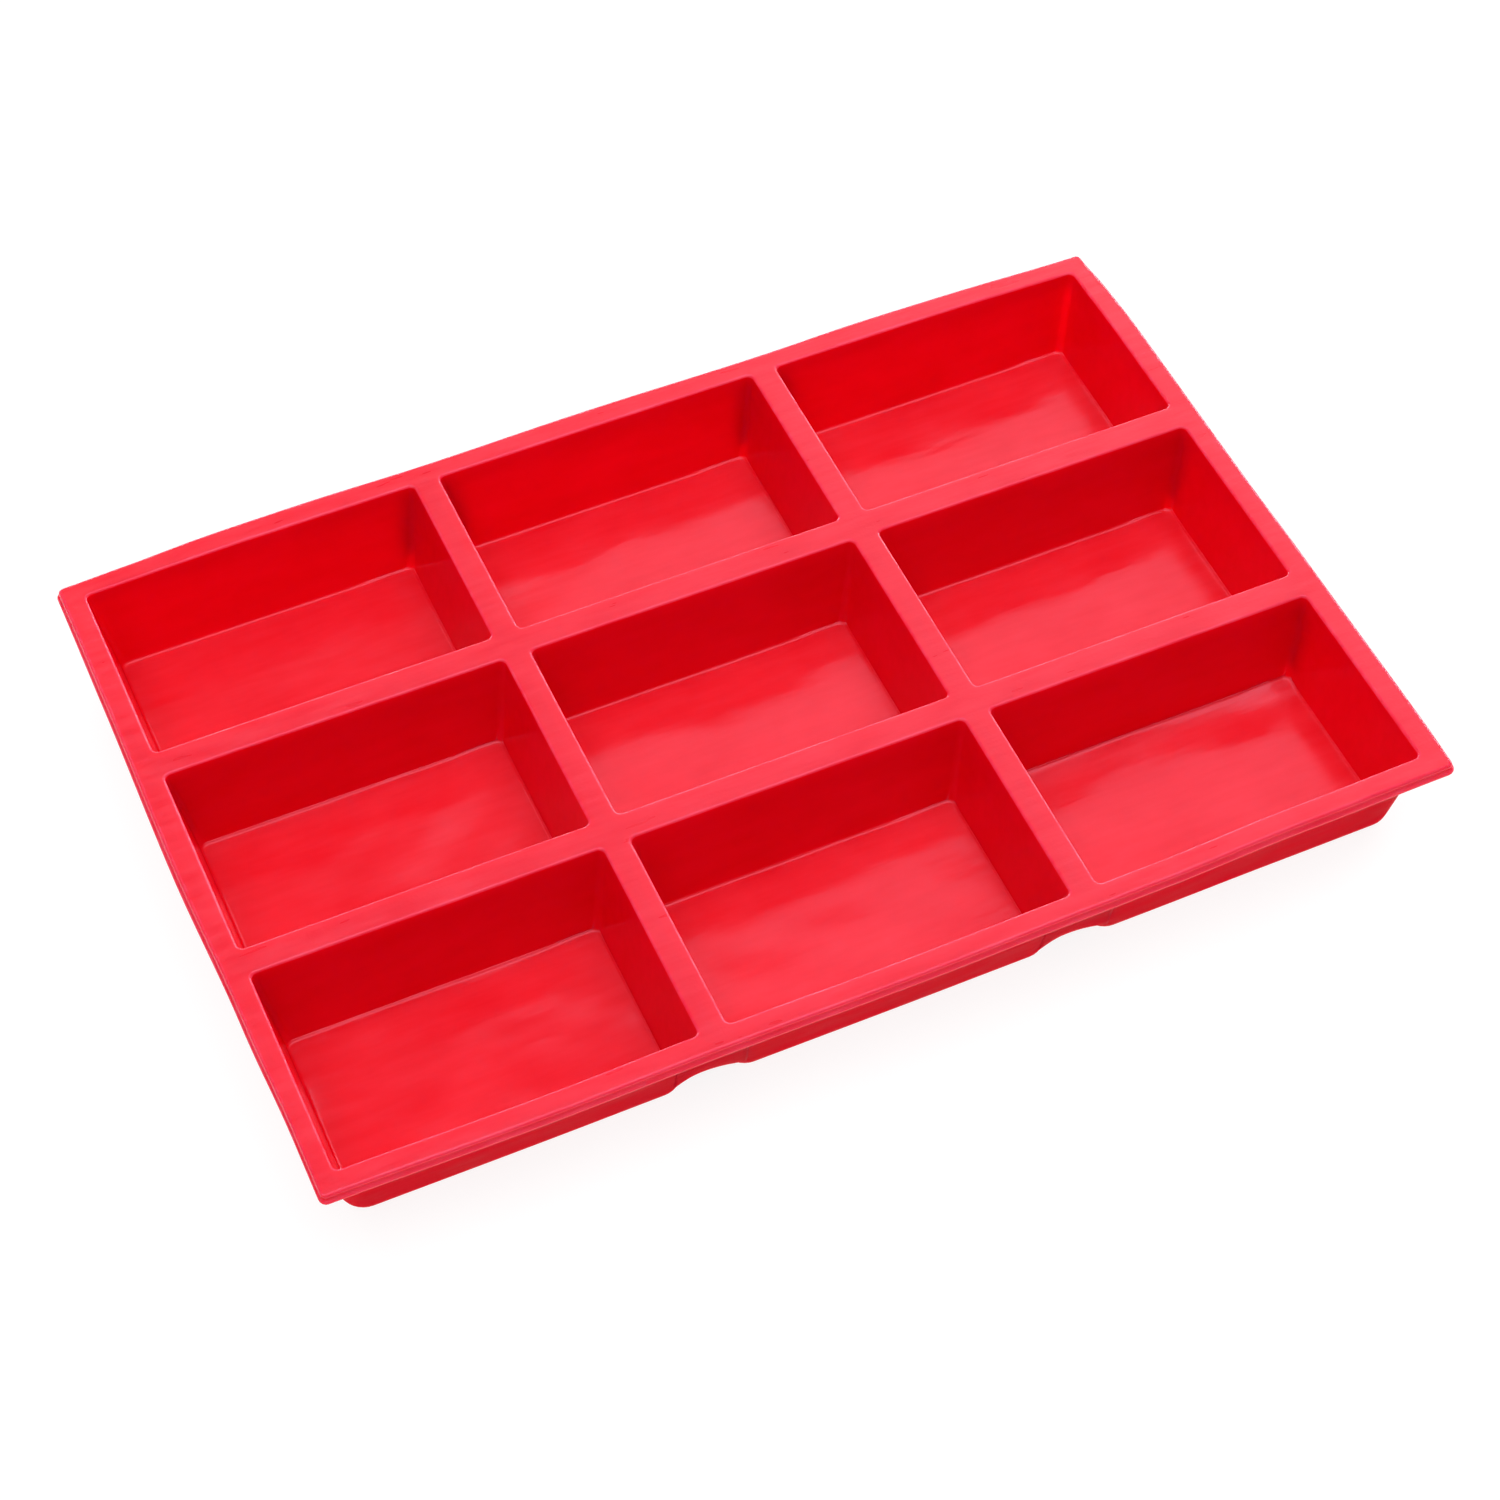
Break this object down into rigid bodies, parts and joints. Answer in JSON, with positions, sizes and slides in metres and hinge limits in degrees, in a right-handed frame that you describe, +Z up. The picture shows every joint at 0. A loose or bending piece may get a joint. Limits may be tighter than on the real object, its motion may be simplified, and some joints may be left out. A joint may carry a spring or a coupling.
{
  "type": "soap mould tray",
  "caption": "Flexible silicone tray mould for casting rectangular bars of soap: shallow tapered cups with rounded corners hang in a close grid from a thin flat top sheet.",
  "frame": {"origin": "centre of the tray's footprint, on the surface that the cup undersides stand on", "axes": "+X along the tray's long side, +Y towards the back row, +Z up out of the cavities"},
  "size_m": [0.28, 0.1884, 0.027],
  "materials": {
    "silicone": "satin silicone rubber, slightly translucent, smoother on the cavity floors"
  },
  "bodies": {
    "root": {"cup_front_left": "silicone", "cup_front_centre": "silicone", "cup_front_right": "silicone", "cup_middle_left": "silicone", "cup_middle_centre": "silicone", "cup_middle_right": "silicone", "cup_back_left": "silicone", "cup_back_centre": "silicone", "cup_back_right": "silicone", "top_sheet": "silicone", "web_front_left": "silicone", "web_front_right": "silicone", "web_back_left": "silicone", "web_back_right": "silicone", "web_left_front": "silicone", "web_left_back": "silicone", "web_right_front": "silicone", "web_right_back": "silicone"}
  },
  "joints": []
}
